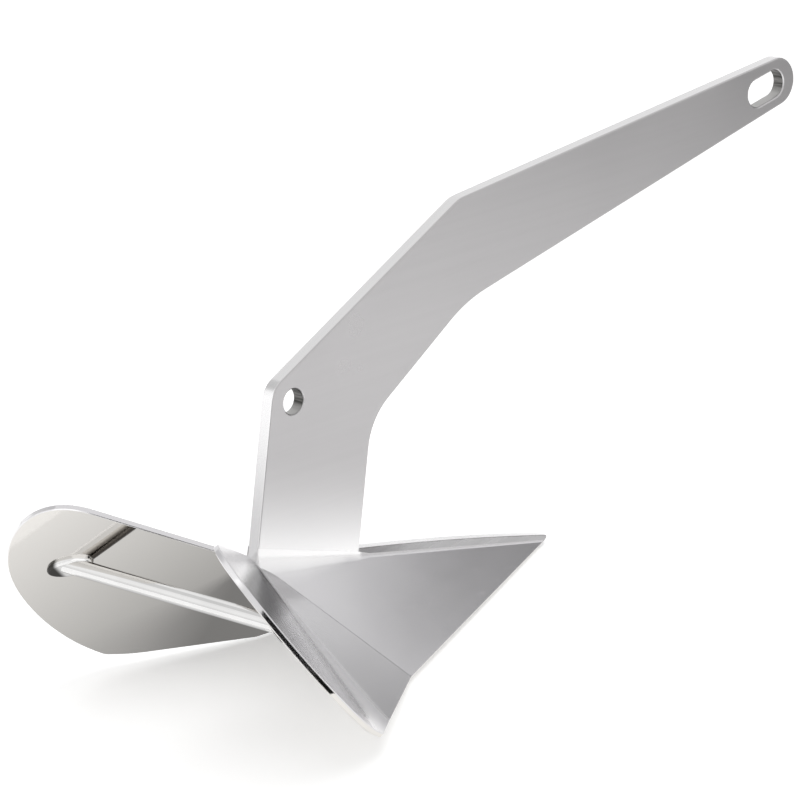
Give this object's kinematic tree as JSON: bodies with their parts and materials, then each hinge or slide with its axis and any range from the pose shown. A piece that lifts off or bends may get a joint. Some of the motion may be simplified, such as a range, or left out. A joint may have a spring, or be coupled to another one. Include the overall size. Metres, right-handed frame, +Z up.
{
  "type": "plough anchor",
  "caption": "Fixed-shank winged plough anchor, welded from polished plate, with a slotted eye and a lashing hole",
  "frame": {"origin": "centre of the lashing hole in the shank, in the middle of the plate", "axes": "+Z up as the anchor stands on its toe and wing shoulders, +X towards the toe and the eye of the shank, +Y to port, square to the shank plate"},
  "size_m": [0.8012, 0.3524, 0.3203],
  "materials": {
    "satin_plate": "stainless plate, fine satin grain along the plate",
    "polished_plate": "stainless plate, polished on both sides with faint streaks",
    "polished_bar": "stainless round bar, mirror polished",
    "dressed_weld": "weld metal ground smooth and polished into the plate",
    "toe_weight": "plain ground steel, hidden under the nose"
  },
  "bodies": {
    "root": {"shank": "satin_plate", "toe_bar": "satin_plate", "blade_port": "polished_plate", "blade_starboard": "polished_plate", "cross_rod": "polished_bar", "seam_weld_port": "dressed_weld", "seam_weld_starboard": "dressed_weld", "heel_weld": "dressed_weld", "toe_weight_port": "toe_weight", "toe_weight_starboard": "toe_weight"}
  },
  "joints": []
}
